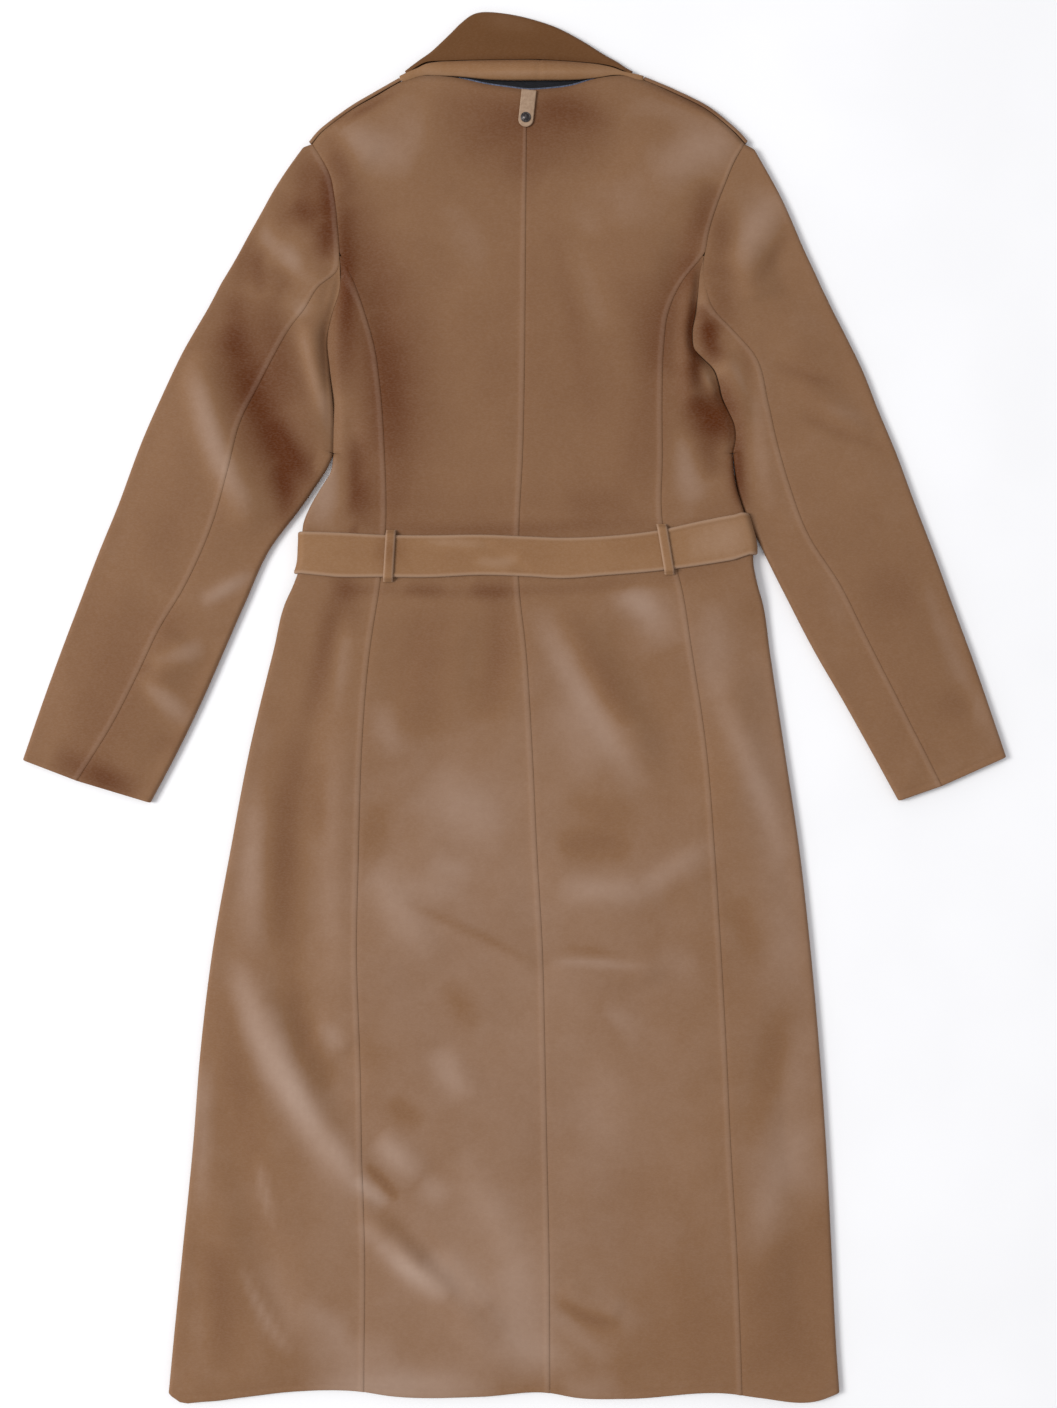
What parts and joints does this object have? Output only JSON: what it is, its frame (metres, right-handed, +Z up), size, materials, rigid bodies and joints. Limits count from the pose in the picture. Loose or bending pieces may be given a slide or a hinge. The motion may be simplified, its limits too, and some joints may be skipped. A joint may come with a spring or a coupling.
{
  "type": "wrap coat",
  "caption": "Long belted wool wrap coat laid flat on its front, back showing: panelled back and skirt, two-piece sleeves, turned-up collar, looped belt and a small neck tab.",
  "frame": {"origin": "middle of the laid coat's outline, on the surface that it lies on", "axes": "+X towards the wearer's right sleeve, +Y up the coat towards the collar, +Z up off the surface, out of the coat's back"},
  "size_m": [0.8864, 1.2525, 0.0177],
  "materials": {
    "coat_wool": "felted double-faced camel wool with a soft raised nap and a low sheen",
    "belt_wool": "the same felted wool, doubled, with turned and stitched edges",
    "neck_lining": "near-black woven lining with a slate-blue bound edge",
    "tab_leather": "smooth pale tan leather, matt",
    "snap_metal": "dark gunmetal, low gloss"
  },
  "bodies": {
    "root": {"back_left": "coat_wool", "side_back_left": "coat_wool", "front_left": "coat_wool", "top_sleeve_left": "coat_wool", "under_sleeve_left": "coat_wool", "belt_loop_left": "belt_wool", "back_right": "coat_wool", "side_back_right": "coat_wool", "front_right": "coat_wool", "top_sleeve_right": "coat_wool", "under_sleeve_right": "coat_wool", "belt_loop_right": "belt_wool", "collar": "coat_wool", "collar_band": "coat_wool", "neck_lining": "neck_lining", "belt": "belt_wool", "neck_tab": "tab_leather", "tab_snap": "snap_metal"}
  },
  "joints": []
}
